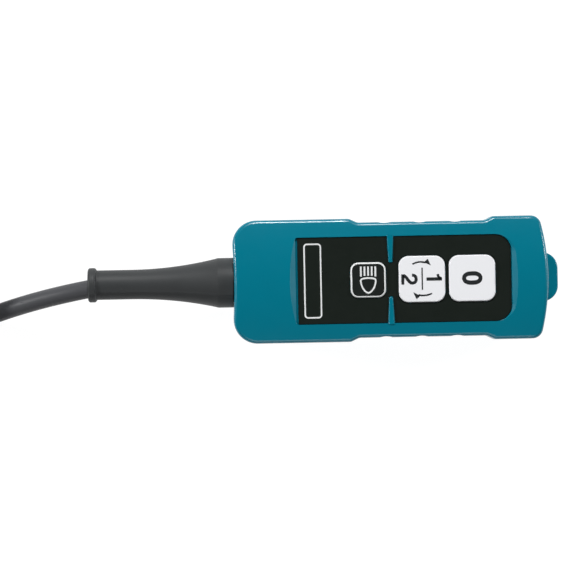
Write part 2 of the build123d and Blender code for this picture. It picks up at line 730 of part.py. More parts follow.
# ---------------------------------------------------------------- write the sub-parts
def all_nodes():
    nodes = {
        "front_shell": front_shell(),
        "rear_shell": rear_shell(),
        "shell_gasket": shell_gasket(),
        "case_screws": case_screws(),
        "face_label": face_label(),
        "key_mat": key_mat(),
        "main_board": main_board(),
        "board_screws": board_screws(),
        "control_chip": control_chip(),
        "board_components": board_components(),
        "board_header": board_header(),
        "wire_plug": wire_plug(),
        "cable_boot": cable_boot(),
        "cable_entry": cable_entry(),
        "cable_clamp": cable_clamp(),
        "clamp_screws": clamp_screws(),
        "belt_clip": belt_clip(),
        "clip_pin": clip_pin(),
        "clip_spring": clip_spring(),
        "cable_run": cable_run(),
        "cable_coil": cable_coil(),
        "coil_tie": coil_tie(),
        "cable_tail": cable_tail(),
        "plug_overmould": plug_overmould(),
        "plug_shroud": plug_shroud(),
        "plug_insert": plug_insert(),
        "plug_pins": plug_pins(),
    }
    for name, x, side, corner in keys:
        nodes[f"{name}_key_cap"] = key_cap(x, side, corner)
        nodes[f"{name}_key_seal"] = key_seal(x, side)
        nodes[f"{name}_switch_body"] = switch_body(x)
        nodes[f"{name}_switch_plunger"] = switch_plunger(x)
    for index, colour in enumerate(("black", "white", "red", "blue")):
        nodes[f"core_wire_{colour}"] = core_wire(index)
    return nodes


def main():
    os.makedirs("parts", exist_ok=True)
    for name, shape in all_nodes().items():
        solids = shape if isinstance(shape, list) else [shape]
        placed = [Pos(origin_shift, 0, 0) * solid for solid in solids]
        whole = placed[0] if len(placed) == 1 else Compound(children=placed)
        export_step(whole, f"parts/{name}.step")


main()
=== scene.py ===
from math import atan2, cos, pi, radians, sin, sqrt

import bmesh
import bpy
import numpy as np
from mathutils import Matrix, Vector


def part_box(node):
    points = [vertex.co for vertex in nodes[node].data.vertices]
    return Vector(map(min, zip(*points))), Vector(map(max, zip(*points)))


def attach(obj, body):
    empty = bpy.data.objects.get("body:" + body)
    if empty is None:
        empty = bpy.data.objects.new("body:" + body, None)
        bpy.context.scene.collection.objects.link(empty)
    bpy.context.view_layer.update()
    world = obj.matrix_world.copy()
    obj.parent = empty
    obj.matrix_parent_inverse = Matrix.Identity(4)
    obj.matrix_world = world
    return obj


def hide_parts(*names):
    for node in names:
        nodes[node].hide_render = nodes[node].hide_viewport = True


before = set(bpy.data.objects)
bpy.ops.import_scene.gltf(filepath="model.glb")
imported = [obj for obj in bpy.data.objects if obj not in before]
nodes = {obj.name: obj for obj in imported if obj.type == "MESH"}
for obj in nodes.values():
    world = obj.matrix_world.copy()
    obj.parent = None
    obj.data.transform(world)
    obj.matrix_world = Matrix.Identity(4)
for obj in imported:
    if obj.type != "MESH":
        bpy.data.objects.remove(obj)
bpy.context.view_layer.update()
mm = 0.001
shellLow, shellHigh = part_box("front_shell")
bootLow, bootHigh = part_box("cable_boot")
caseX = (shellLow.x + shellHigh.x) / 2      # middle of the case along X, in metres
jointZ = (bootLow.z + bootHigh.z) / 2       # height of the cable's axis where it leaves the case
print("frame loaded:", len(nodes), "nodes")


# ---- camera ----
camera = {"place": (-0.0432, -0.0013, 1.2367), "roll": -1.1, "lens": 200.0, "sensor": 36.0}


def makeCamera():
    data = bpy.data.cameras.new("camera")
    data.lens, data.sensor_width = camera["lens"], camera["sensor"]
    data.clip_start, data.clip_end = 0.01, 20.0
    eye = bpy.data.objects.new("camera", data)
    eye.location = camera["place"]
    eye.rotation_euler = (0, 0, radians(camera["roll"]))
    bpy.context.scene.collection.objects.link(eye)
    bpy.context.scene.camera = eye


makeCamera()
print("camera set")


# ---- shader nodes ----
class Value:
    # An output of a node. Arithmetic on it adds Math nodes to the same tree.
    def __init__(self, finish, socket):
        self.finish, self.socket = finish, socket

    def maths(self, operation, first, second=0.0):
        return self.finish.node("ShaderNodeMath", {"operation": operation}, {0: first, 1: second})

    def __add__(self, other):
        return self.maths("ADD", self, other)

    def __radd__(self, other):
        return self.maths("ADD", other, self)

    def __sub__(self, other):
        return self.maths("SUBTRACT", self, other)

    def __rsub__(self, other):
        return self.maths("SUBTRACT", other, self)

    def __mul__(self, other):
        return self.maths("MULTIPLY", self, other)

    def __rmul__(self, other):
        return self.maths("MULTIPLY", other, self)

    def __gt__(self, other):
        return self.maths("GREATER_THAN", self, other)

    def __lt__(self, other):
        return self.maths("LESS_THAN", self, other)

    def __abs__(self):
        return self.maths("ABSOLUTE", self)

    def sine(self):
        return self.maths("SINE", self)

    def atMost(self, other):
        return self.maths("MINIMUM", self, other)

    def atLeast(self, other):
        return self.maths("MAXIMUM", self, other)

    def wrapped(self, period):
        return self.maths("FLOORED_MODULO", self, period)


class Finish:
    # One material. node() makes any node: its type, its settings, then its values and links.
    def __init__(self, name):
        self.material = bpy.data.materials.new(name)
        self.material.use_nodes = True
        self.tree = self.material.node_tree
        self.tree.nodes.clear()

    def node(self, kind, settings=None, values=None, output=0):
        made = self.tree.nodes.new(kind)
        for key, value in (settings or {}).items():
            setattr(made, key, value)
        for key, value in (values or {}).items():
            if isinstance(value, Value):
                self.tree.links.new(value.socket, made.inputs[key])
            else:
                made.inputs[key].default_value = value
        return Value(self, made.outputs[output]) if made.outputs else None

    def place(self):
        return self.node("ShaderNodeTexCoord", output="Object")

    def axes(self, vector):
        return [self.node("ShaderNodeSeparateXYZ", values={0: vector}, output=i) for i in range(3)]

    def noise(self, scale, detail=2.0, roughness=0.5, vector=None):
        return self.node(
            "ShaderNodeTexNoise",
            values={
                "Vector": vector or self.place(), "Scale": scale, "Detail": detail, "Roughness": roughness
            },
        )

    def cells(self, scale):
        # distance to the nearest cell's middle
        return self.node("ShaderNodeTexVoronoi", values={"Vector": self.place(), "Scale": scale})

    def mix(self, factor, first, second):
        return self.node("ShaderNodeMix", {"data_type": "RGBA"}, {0: factor, 6: first, 7: second}, output=2)

    def bump(self, height, distance):
        # distance is how far a height of 1 stands out, in metres
        return self.node("ShaderNodeBump", values={"Height": height, "Distance": distance, "Strength": 1.0})

    def done(self, **inputs):
        # keyword names are the Principled shader's sockets in camelCase
        names = {
            "colour": "Base Color", "roughness": "Roughness", "metallic": "Metallic", "normal": "Normal",
            "specular": "Specular IOR Level", "sheen": "Sheen Weight", "glow": "Emission Color",
            "glowStrength": "Emission Strength",
        }
        surface = self.node("ShaderNodeBsdfPrincipled", values={names[k]: v for k, v in inputs.items()})
        self.node("ShaderNodeOutputMaterial", values={0: surface})
        return self.material


def tone(red, green, blue):
    # screen numbers from 0 to 255 made linear
    parts = [c / 255 for c in (red, green, blue)]
    return tuple(c / 12.92 if c <= 0.04045 else ((c + 0.055) / 1.055) ** 2.4 for c in parts) + (1.0,)


def shade(colour, amount):
    return tuple(c * amount for c in colour[:3]) + (1.0,)


# ---- finishes ----
def mouldedPlastic(name, colour, roughness, grain, grainDepth, clouding=0.05, specular=0.45):
    # a spark-eroded grain, faint flow clouding and handling marks that only dull the gloss
    finish = Finish(name)
    clouds = finish.noise(45, 3)
    smears = finish.noise(160, 4, 0.6)
    base = finish.mix(clouds, shade(colour, 1 - clouding), shade(colour, 1 + clouding))
    height = finish.noise(grain, 3, 0.6) + 0.4 * finish.cells(grain * 0.6)
    return finish.done(
        colour=base, roughness=roughness + (smears - 0.5) * 0.1, normal=finish.bump(height, grainDepth),
        specular=specular,
    )


def mouldedRubber(name, colour, roughness, grain, grainDepth, specular=0.22):
    # a dull skin with a fine grain, a few pale scuffs and soft bloom
    finish = Finish(name)
    bloom = finish.noise(90, 4, 0.6)
    scuffs = (finish.noise(420, 5, 0.7) - 0.62).atLeast(0.0) * 3.0
    base = finish.mix(bloom, shade(colour, 0.9), shade(colour, 1.12))
    base = finish.mix(scuffs.atMost(0.5), base, shade(colour, 1.6))
    height = finish.noise(grain, 4, 0.65)
    return finish.done(
        colour=base, roughness=roughness + bloom * 0.08 - 0.04, normal=finish.bump(height, grainDepth),
        specular=specular,
    )


def printedFilm(name, colour, roughness):
    # a hard textured film: fine pebble, faint fingerprints in the gloss
    finish = Finish(name)
    prints = finish.noise(210, 5, 0.65)
    base = finish.mix(finish.noise(60, 2), shade(colour, 0.92), shade(colour, 1.1))
    height = 1 - finish.cells(5200)
    return finish.done(
        colour=base, roughness=roughness + (prints - 0.5) * 0.14, normal=finish.bump(height, 0.000006)
    )


def ink(name, colour):
    # screen ink: a slightly uneven coat
    finish = Finish(name)
    base = finish.mix(finish.noise(900, 3), shade(colour, 0.95), shade(colour, 1.03))
    return finish.done(
        colour=base, roughness=0.42 + finish.noise(1500, 2) * 0.1,
        normal=finish.bump(finish.noise(6000, 2), 0.000006),
    )


def turnedMetal(name, colour, roughness, scratch=2500):
    finish = Finish(name)
    stretched = finish.node(
        "ShaderNodeMapping", values={"Vector": finish.place(), "Scale": (1.0, 1.0, 0.12)}
    )
    lines = finish.noise(scratch, 4, 0.6, stretched)
    stain = finish.noise(300, 3)
    base = finish.mix(stain, shade(colour, 0.86), colour)
    return finish.done(
        colour=base, metallic=1.0, roughness=roughness + lines * 0.14, normal=finish.bump(lines, 0.000008)
    )


def circuitBoard(name, colour):
    # solder mask over etched tracks: tracks are pale bands along X and Y, pads are rings
    finish = Finish(name)
    x, y, z = finish.axes(finish.place())
    wander = finish.noise(70, 1)
    along = ((y * 620 + wander * 3).wrapped(1.0) - 0.5).__abs__() < 0.16
    across = ((x * 410 + wander * 2).wrapped(1.0) - 0.5).__abs__() < 0.1
    region = finish.noise(38, 1) > 0.5
    tracks = (along * region + across * (1 - region)).atMost(1.0)
    pads = finish.cells(330) < 0.16
    base = finish.mix(tracks, colour, shade(colour, 1.9))
    base = finish.mix(pads, base, tone(190, 188, 180))
    return finish.done(
        colour=base, roughness=0.32 + pads * 0.1, metallic=pads * 0.8,
        normal=finish.bump(tracks + pads, 0.00003),
    )


def wovenStrap(name, colour):
    # plain weave on the strap's own map: u runs along it and v across, both in threads; its colour carries
    # painted shade in the weave's hollows and a painted highlight on the threads' crowns
    finish = Finish(name)
    u, v, w = finish.axes(finish.node("ShaderNodeUVMap", {"uv_map": "threads"}))
    warp = (v * pi).sine().__abs__()
    weft = (u * pi).sine().__abs__()
    over = ((u + v - ((u + v).wrapped(1.0))).wrapped(2.0)) > 0.5
    height = warp * over + weft * (1 - over)
    fuzz = finish.noise(5000, 3, 0.7)
    # painted shade and highlight: the colour is darker where the weave is low and lighter where it is high,
    # with random fuzz in the tone
    base = finish.mix(height * 0.7 + fuzz * 0.3, shade(colour, 0.45), shade(colour, 1.5))
    return finish.done(
        colour=base, roughness=0.82 + fuzz * 0.1, normal=finish.bump(height + fuzz * 0.3, 0.00018),
        sheen=0.25,
    )


teal = tone(0, 113, 134)
finishes = {
    "case": mouldedPlastic("case teal", teal, 0.24, 3400, 0.000003),
    "clip": mouldedPlastic("clip teal", shade(teal, 0.97), 0.24, 3400, 0.000003),
    "label": printedFilm("label film black", tone(23, 29, 25), 0.3),
    "keyWhite": mouldedPlastic("key white", tone(233, 234, 237), 0.36, 5200, 0.000006, 0.008),
    "keyBlack": mouldedPlastic("key black", tone(26, 30, 28), 0.34, 5200, 0.000006),
    "inkWhite": ink("ink white", tone(226, 228, 228)),
    "inkBlack": ink("ink black", tone(24, 28, 30)),
    "silicone": mouldedRubber("silicone grey", tone(120, 124, 126), 0.6, 2600, 0.00002),
    "gasket": mouldedRubber("silicone black", tone(30, 31, 32), 0.6, 2600, 0.00002),
    "boot": mouldedRubber("boot rubber", tone(55, 57, 58), 0.5, 3000, 0.000014),
    "jacket": mouldedRubber("cable jacket", tone(72, 73, 76), 0.46, 2300, 0.000016),
    "screw": turnedMetal("screw steel", tone(168, 170, 174), 0.28),
    "spring": turnedMetal("spring steel", tone(150, 152, 158), 0.25),
    "nickel": turnedMetal("plug nickel", tone(196, 192, 182), 0.2),
    "gold": turnedMetal("contact gold", tone(222, 180, 92), 0.22),
    "board": circuitBoard("board green", tone(16, 74, 42)),
    "chip": mouldedPlastic("chip black", tone(30, 31, 33), 0.55, 5200, 0.00001),
    "ivory": mouldedPlastic("connector ivory", tone(222, 214, 192), 0.45, 4200, 0.00001),
    "wireBlack": mouldedPlastic("wire black", tone(28, 28, 30), 0.42, 3600, 0.000008),
    "wireWhite": mouldedPlastic("wire white", tone(226, 226, 222), 0.42, 3600, 0.000008, 0.02),
    "wireRed": mouldedPlastic("wire red", tone(170, 32, 30), 0.42, 3600, 0.000008),
    "wireBlue": mouldedPlastic("wire blue", tone(30, 70, 160), 0.42, 3600, 0.000008),
    "plunger": mouldedPlastic("plunger white", tone(214, 214, 210), 0.4, 4200, 0.000008, 0.02),
    "switch": mouldedPlastic("switch black", tone(38, 38, 40), 0.5, 4200, 0.00001),
    "strap": wovenStrap("tie fabric", tone(40, 41, 44)),
    "plugBody": mouldedRubber("plug rubber", tone(44, 45, 47), 0.5, 2600, 0.00002),
}
nodeFinishes = {
    "case": ["front_shell", "rear_shell"],
    "clip": ["belt_clip"],
    "gasket": ["shell_gasket"],
    "screw": ["case_screws", "board_screws", "clamp_screws"],
    "label": ["face_label"],
    "silicone": ["key_mat", "light_key_seal", "speed_key_seal", "off_key_seal"],
    "board": ["main_board"],
    "chip": ["control_chip", "board_components", "plug_insert"],
    "ivory": ["board_header", "wire_plug"],
    "wireBlack": ["core_wire_black"],
    "wireWhite": ["core_wire_white"],
    "wireRed": ["core_wire_red"],
    "wireBlue": ["core_wire_blue"],
    "jacket": ["cable_entry"],
    "switch": ["cable_clamp", "light_switch_body", "speed_switch_body", "off_switch_body"],
    "plunger": ["light_switch_plunger", "speed_switch_plunger", "off_switch_plunger"],
    "spring": ["clip_pin", "clip_spring"],
    "nickel": ["plug_shroud"],
    "gold": ["plug_pins"],
    "keyBlack": ["light_key_cap"],
    "keyWhite": ["speed_key_cap", "off_key_cap"],
}


def paintNodes():
    for finish, names in nodeFinishes.items():
        for name in names:
            node = nodes[name]
            if not node.material_slots:
                node.data.materials.append(None)
            for entry in node.material_slots:
                entry.material = finishes[finish]


paintNodes()
print("finishes made:", len(finishes))


# ---- mesh helpers ----
def addPiece(name, points, faces, finish, body="handset", sharp=35.0, mergeDistance=1e-7):
    # a mesh in metres with its doubles merged and its faces outwards, riding on a body
    mesh = bpy.data.meshes.new(name)
    mesh.from_pydata(points.reshape(-1, 3).tolist(), [], [list(face) for face in faces.tolist()])
    work = bmesh.new()
    work.from_mesh(mesh)
    bmesh.ops.remove_doubles(work, verts=work.verts, dist=mergeDistance)
    bmesh.ops.recalc_face_normals(work, faces=work.faces)
    work.to_mesh(mesh)
    work.free()
    mesh.shade_smooth()
    mesh.set_sharp_from_angle(angle=radians(sharp))
    mesh.materials.append(finishes[finish])
    piece = bpy.data.objects.new(name, mesh)
    bpy.context.scene.collection.objects.link(piece)
    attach(piece, body)
    return piece


def gridFaces(rows, columns, loopRows=False, loopColumns=True):
    # quads of a rows by columns grid, closed round either way
    i = np.arange(rows if loopRows else rows - 1)[:, None]
    j = np.arange(columns if loopColumns else columns - 1)[None, :]
    nextI, nextJ = (i + 1) % rows, (j + 1) % columns
    corners = [i * columns + j, i * columns + nextJ, nextI * columns + nextJ, nextI * columns + j]
    return np.stack(np.broadcast_arrays(*corners), axis=-1).reshape(-1, 4)


def line(*points):
    return np.array(points, float)


def arc(centreX, centreY, radiusX, radiusY, start, end, count):
    # points (centre + radius * (cos, sin)) from one angle to another, in degrees
    turn = np.radians(np.linspace(start, end, count))
    return np.stack([centreX + radiusX * np.cos(turn), centreY + radiusY * np.sin(turn)], axis=1)


def roundLine(points, count=8):
    # a Catmull-Rom line through the points: cubic in the share t of each run
    p = np.array(points, float)
    p = np.vstack([2 * p[0] - p[1], p, 2 * p[-1] - p[-2]])
    t = np.linspace(0, 1, count, endpoint=False)[None, :, None]
    a, b, c, d = (p[k:len(p) - 3 + k][:, None, :] for k in range(4))
    square, cube = 2 * a - 5 * b + 4 * c - d, 3 * b - a - 3 * c + d
    curve = 0.5 * (2 * b + (c - a) * t + square * t**2 + cube * t**3)
    return np.vstack([curve.reshape(-1, p.shape[1]), p[-2]])


def roundedSquare(half, corner, perSide=8, perCorner=10):
    # ring of a rounded square: a quarter turn about each corner's centre, then the straight side
    inner = half - corner
    quarters = []
    for k in range(4):
        turn = np.radians(np.linspace(90 * k, 90 * k + 90, perCorner))
        centre = inner * np.array([cos(radians(90 * k + 45)), sin(radians(90 * k + 45))]) * sqrt(2)
        bend = centre + corner * np.stack([np.cos(turn), np.sin(turn)], axis=1)
        nextStart = np.array([-bend[0][1], bend[0][0]])
        share = np.linspace(0, 1, perSide + 1, endpoint=False)[1:, None]
        quarters += [bend, bend[-1] * (1 - share) + nextStart * share]
    return np.vstack(quarters)


# ---- cable ----
cable = {"radius": 3.5, "round": 5, "smooth": 8, "length": 0.9005}
runPoints = [
    (-96.0, 0.0, 20.0),
    (-107.0, 0.0, 20.0),
    (-121.0, -2.3, 18.6),
    (-136.0, -5.5, 13.2),
    (-151.0, -9.7, 7.2),
    (-166.0, -15.0, 3.9),
    (-180.7, -20.1, 3.5),
]
coil = {
    "entry": 289.1, "step": 30.0, "outer": 35.0, "inner": 28.0, "low": 3.5, "high": 10.5,
    "inwards": 315.0, "upwards": 645.0, "outwards": 975.0, "end": 1260.0,
    "tie": 169.1, "tieReach": 20.0, "tieLift": 1.4,
}
# The last stretch climbs on to the coil: angle about the coil's middle, distance from it, height.
tailTurns = [
    (99.0, 35.0, 11.9),
    (76.0, 35.0, 14.6),
    (53.0, 35.0, 16.9),
    (30.0, 35.0, 17.5),
    (7.0, 35.0, 17.5),
    (-17.0, 34.6, 17.5),
    (-42.0, 33.4, 17.8),
    (-68.0, 31.9, 19.0),
    (-95.0, 30.2, 19.7),
]
entry = radians(coil["entry"])
coilX = runPoints[-1][0] - coil["outer"] * cos(entry)
coilY = runPoints[-1][1] - coil["outer"] * sin(entry)


def aboutCoil(angle, radius, height):
    # points at these angles (degrees), distances and heights about the coil's middle
    turn = np.radians(angle)
    return np.stack([coilX + radius * np.cos(turn), coilY + radius * np.sin(turn), height], axis=1)


def coilPoints():
    # Clockwise from the entry, each a little under a turn: outer, inner, then inner and outer on top.
    # The control points stand out by 1 / cos(half a step), so that the curve keeps its radius.
    turned = np.arange(coil["step"] / 2, coil["end"], coil["step"])
    grown = 1 / cos(radians(coil["step"] / 2))

    def switchAt(middle):
        return np.clip((turned - middle) / (2 * coil["step"]) + 0.5, 0, 1)

    radius = coil["outer"] + (coil["inner"] - coil["outer"]) * (
        switchAt(coil["inwards"]) - switchAt(coil["outwards"])
    )
    height = coil["low"] + (coil["high"] - coil["low"]) * switchAt(coil["upwards"])
    angle = coil["entry"] - turned
    fromTie = np.abs((angle - coil["tie"] + 180) % 360 - 180)
    height = height + coil["tieLift"] * (fromTie < coil["tieReach"])
    return aboutCoil(angle, grown * radius, height)


tailPoints = aboutCoil(*np.array(tailTurns).T)


def makeCable():
    route = np.vstack([np.array(runPoints), coilPoints(), tailPoints]) * mm + (caseX, 0, 0)
    data = bpy.data.curves.new("cable", "CURVE")
    data.dimensions = "3D"
    spline = data.splines.new("NURBS")
    spline.points.add(len(route) - 1)
    spline.points.foreach_set("co", np.hstack([route, np.ones((len(route), 1))]).ravel())
    spline.order_u = 3
    spline.use_endpoint_u = True
    spline.resolution_u = cable["smooth"]
    data.bevel_depth = cable["radius"] * mm
    data.bevel_resolution = cable["round"]
    data.use_fill_caps = True
    data.materials.append(finishes["jacket"])
    piece = bpy.data.objects.new("cable", data)
    bpy.context.scene.collection.objects.link(piece)
    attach(piece, "handset")
    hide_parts("cable_run", "cable_coil", "cable_tail")
    return piece, route


cablePiece, cableRoute = makeCable()
print("cable laid:", len(cableRoute), "points")


# ---- boot ----
boot = {
    "mouth": -115.9, "collar": 3.25, "collarRadius": 6.62, "collarRound": 0.9,
    "neckStart": -112.2, "neckEnd": -99.1, "neckRadius": 5.68,
    "flareEnd": -66.9, "flareRadius": 9.28, "bodyStart": -66.1, "bodyRadius": 9.55,
    "wallOut": -60.15, "wallIn": -57.45, "wallRadius": 7.5, "flangeEnd": -55.25,
    "bore": 3.55, "boreStart": -96.0, "bellRadius": 5.15,
    "seam": 29.0, "seamWidth": 0.3, "seamHeight": 0.12, "around": 120,
}


def bootProfile():
    # (x, radius) down the bell mouth, over the collar, along the neck and flare, round the wall groove
    b = boot
    run, rise = b["flareEnd"] - b["neckEnd"], b["flareRadius"] - b["neckRadius"]
    sweep = (run**2 + rise**2) / (2 * rise)
    flareX = np.linspace(b["neckEnd"], b["flareEnd"], 28)
    flare = b["neckRadius"] + sweep - np.sqrt(sweep**2 - (flareX - b["neckEnd"]) ** 2)
    bellRun, bellRise = b["boreStart"] - b["mouth"], b["bellRadius"] - b["bore"]
    bellSweep = (bellRun**2 + bellRise**2) / (2 * bellRise)
    bellX = np.linspace(b["boreStart"], b["mouth"] + 0.3, 12)
    bell = b["bore"] + bellSweep - np.sqrt(bellSweep**2 - (bellX - b["boreStart"]) ** 2)
    r = b["collarRound"]
    collarEnd = b["mouth"] + b["collar"]
    return np.vstack([
        np.stack([bellX, bell], axis=1),
        line((b["mouth"], b["bellRadius"] + 0.3)),
        arc(b["mouth"] + r, b["collarRadius"] - r, r, r, 180, 90, 7),
        arc(collarEnd - r, b["collarRadius"] - r, r, r, 90, 0, 7),
        line((collarEnd, b["neckRadius"] + 0.3), (b["neckStart"] - 0.35, b["neckRadius"] + 0.06)),
        line((b["neckStart"], b["neckRadius"])),
        np.stack([flareX, flare], axis=1),
        line(
            (b["bodyStart"], b["bodyRadius"] - 0.05), (b["bodyStart"] + 0.3, b["bodyRadius"]),
            (b["wallOut"], b["bodyRadius"]), (b["wallOut"], b["wallRadius"]),
            (b["wallIn"], b["wallRadius"]), (b["wallIn"], b["bodyRadius"]),
            (b["flangeEnd"], b["bodyRadius"]), (b["flangeEnd"], b["bore"]),
        ),
    ])


def makeBoot():
    # profile turned about the cable's axis; a thin mould seam stands proud on two opposite sides
    profile = bootProfile()
    near = np.linspace(-7, 7, 15)
    angles = [np.linspace(0, 360, boot["around"], endpoint=False)]
    angles += [boot["seam"] + 180 * side + near for side in (0, 1)]
    turn = np.radians(np.unique(np.round(np.concatenate(angles) % 360, 3)))
    radius, x = profile[:, 1][:, None], profile[:, 0][:, None]
    away = (turn - radians(boot["seam"]) + pi / 2) % pi - pi / 2       # angle from the nearer seam
    ridge = np.exp(-((away[None, :] * radius / boot["seamWidth"]) ** 2)) * boot["seamHeight"]
    outside = (x > boot["mouth"] + 0.5) & (x < boot["wallOut"] - 0.2) & (radius > boot["neckRadius"] - 0.1)
    radius = radius + ridge * outside
    points = np.stack([
        np.broadcast_to(x, radius.shape) * mm + caseX,
        -radius * np.sin(turn) * mm,
        radius * np.cos(turn) * mm + jointZ,
    ], axis=-1)
    faces = gridFaces(len(profile), len(turn), loopRows=True)
    piece = addPiece("boot", points, faces, "boot")
    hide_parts("cable_boot")
    return piece


bootPiece = makeBoot()
print("boot made")


# ---- tie round the coil ----
tie = {
    "angle": 169.1, "width": 11.0, "thickness": 1.15, "low": 0.6, "high": 16.05, "inner": 23.85,
    "outer": 39.15, "corner": 3.6, "overlap": 0.27, "along": 150, "across": 15, "thread": 0.55,
    "liftStart": 0.93, "liftRun": 0.06, "liftBy": 1.04, "selvedge": 0.25, "sharp": 50.0,
}


def tiePath(share):
    # share of the way round a rounded rectangle in (distance from the coil's middle, height),
    # starting at the middle of the top; past one turn the strap lies on itself
    t = tie
    halfR, halfZ = (t["outer"] - t["inner"]) / 2, (t["high"] - t["low"]) / 2
    ring = roundedSquare(1.0, t["corner"] / halfR, 14, 12) * (halfR, halfZ)
    start = int(np.argmin(np.abs(ring[:, 0]) + np.abs(ring[:, 1] - halfZ)))
    ring = np.roll(ring, -start, axis=0)[::-1]
    ring = np.vstack([ring, ring[:1]])
    steps = np.concatenate([[0], np.cumsum(np.linalg.norm(np.diff(ring, axis=0), axis=1))])
    at = (share % 1.0) * steps[-1]
    flat = np.stack([np.interp(at, steps, ring[:, k]) for k in (0, 1)], axis=1)
    outward = flat / np.linalg.norm(flat / (halfR, halfZ), axis=1)[:, None] / (halfR, halfZ)
    outward = outward / np.linalg.norm(outward, axis=1)[:, None]
    lift = np.clip((share - t["liftStart"]) / t["liftRun"], 0, 1) * t["thickness"] * t["liftBy"]
    flat = flat + outward * lift[:, None]
    middle = ((t["inner"] + t["outer"]) / 2, (t["high"] + t["low"]) / 2)
    return flat + middle, outward, steps[-1]


def makeTie():
    # strap: the path, times its width, times its two faces; its free end is rounded
    t = tie
    share = np.linspace(0, 1 + t["overlap"], t["along"])
    path, outward, around = tiePath(share)
    across = np.linspace(-1, 1, t["across"])
    toEnd = (share[-1] - share) * around / (t["width"] / 2)
    half = t["width"] / 2 * np.sqrt(np.clip(1 - np.clip(1 - toEnd, 0, 0.985) ** 2, 0, 1))
    selvedge = 1 - t["selvedge"] * np.abs(across) ** 8
    sides = []
    reach = (half[:, None] * across[None, :])[..., None]
    for side in (-1, 1):
        lift = (side * t["thickness"] / 2 * selvedge)[None, :, None]
        sides.append(np.concatenate([path[:, None, :] + outward[:, None, :] * lift, reach], axis=2))
    ring = np.concatenate([sides[0], sides[1][:, ::-1]], axis=1)      # rows along, columns round
    distance, height, sideways = ring[..., 0], ring[..., 1], ring[..., 2]
    turn = radians(t["angle"])
    points = np.stack([
        (coilX + distance * cos(turn) - sideways * sin(turn)) * mm + caseX,
        (coilY + distance * sin(turn) + sideways * cos(turn)) * mm,
        height * mm,
    ], axis=-1)
    rows, columns = ring.shape[:2]
    faces = [gridFaces(rows, columns)]
    for row in (0, rows - 1):                                            # the two cut ends
        j = np.arange(t["across"] - 1)
        faces.append(row * columns + np.stack([j, j + 1, columns - 2 - j, columns - 1 - j], axis=1))
    faces = np.vstack(faces)
    mesh = bpy.data.meshes.new("coilTie")
    mesh.from_pydata(points.reshape(-1, 3).tolist(), [], faces.tolist())
    threads = np.stack(np.broadcast_arrays(
        (share * around / t["thread"])[:, None], (sideways / t["thread"])), axis=-1).reshape(-1, 2)
    corner = np.zeros(len(mesh.loops), np.int32)
    mesh.loops.foreach_get("vertex_index", corner)
    mesh.uv_layers.new(name="threads").data.foreach_set("uv", threads[corner].astype(np.float32).ravel())
    work = bmesh.new()
    work.from_mesh(mesh)
    bmesh.ops.recalc_face_normals(work, faces=work.faces)
    work.to_mesh(mesh)
    work.free()
    mesh.shade_smooth()
    mesh.set_sharp_from_angle(angle=radians(t["sharp"]))
    mesh.materials.append(finishes["strap"])
    piece = bpy.data.objects.new("coilTie", mesh)
    bpy.context.scene.collection.objects.link(piece)
    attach(piece, "handset")
    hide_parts("coil_tie")
    return piece


tiePiece = makeTie()
print("tie made")


# ---- plug body ----
plug = {
    "radius": 5.5, "boot": 9.0, "body": 25.0, "bootStart": 3.9, "bootEnd": 4.6, "shoulder": 1.2,
    "grooves": 3, "groove": 0.55, "grooveFirst": 2.1, "groovePitch": 2.4, "fadeRun": 1.2,
    "ribs": 18, "ribDepth": 0.28, "ribStart": 12.4, "ribEnd": 22.0, "round": 0.8, "around": 216,
}


def makePlugBody():
    # (distance along, radius) profile turned about the plug's axis, with ring grooves on its boot
    # and lengthwise ribs on its grip
    p = plug
    along = np.concatenate([
        np.linspace(0, p["boot"], 61),
        p["boot"] + np.linspace(0.2, 1.4, 6),
        np.linspace(p["boot"] + 1.8, p["body"] - p["round"], 50),
    ])
    radius = np.interp(
        along, [0, p["boot"], p["boot"] + p["shoulder"], p["body"]],
        [p["bootStart"], p["bootEnd"], p["radius"], p["radius"]],
    )
    groove = np.zeros_like(along)
    for k in range(p["grooves"]):
        away = np.abs(along - p["grooveFirst"] - p["groovePitch"] * k)
        groove += np.clip(1.6 - 2.6 * away, 0, 1) * p["groove"]
    radius = radius - groove
    rounding = arc(p["body"] - p["round"], p["radius"] - p["round"], p["round"], p["round"], 90, 0, 7)
    along = np.concatenate([[0, 0], along, rounding[:, 0], [p["body"]]])
    radius = np.concatenate([[0, p["bootStart"] - 0.3], radius, rounding[:, 1], [0]])
    turn = np.linspace(0, 2 * pi, p["around"], endpoint=False)
    begin, end = (along - p["ribStart"]) / p["fadeRun"], (p["ribEnd"] - along) / p["fadeRun"]
    fade = np.clip(begin, 0, 1) * np.clip(end, 0, 1)
    ribs = (0.5 - 0.5 * np.cos(turn * p["ribs"])) ** 0.6
    shaped = radius[:, None] - p["ribDepth"] * fade[:, None] * ribs[None, :]
    local = np.stack([
        np.broadcast_to(along[:, None], shaped.shape), shaped * np.cos(turn), shaped * np.sin(turn)
    ], axis=-1)
    back, start = tailPoints[-2:]
    heading = atan2(start[1] - back[1], start[0] - back[0])
    spin = np.array([[cos(heading), sin(heading), 0], [-sin(heading), cos(heading), 0], [0, 0, 1]])
    points = (local @ spin + start) * mm + (caseX, 0, 0)
    piece = addPiece("plugBody", points, gridFaces(*shaped.shape), "plugBody")
    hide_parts("plug_overmould")
    return piece


plugPiece = makePlugBody()
print("plug body made")


# ---- printed marks ----
inkLayer = {"thickness": 0.035, "sunk": 0.01}


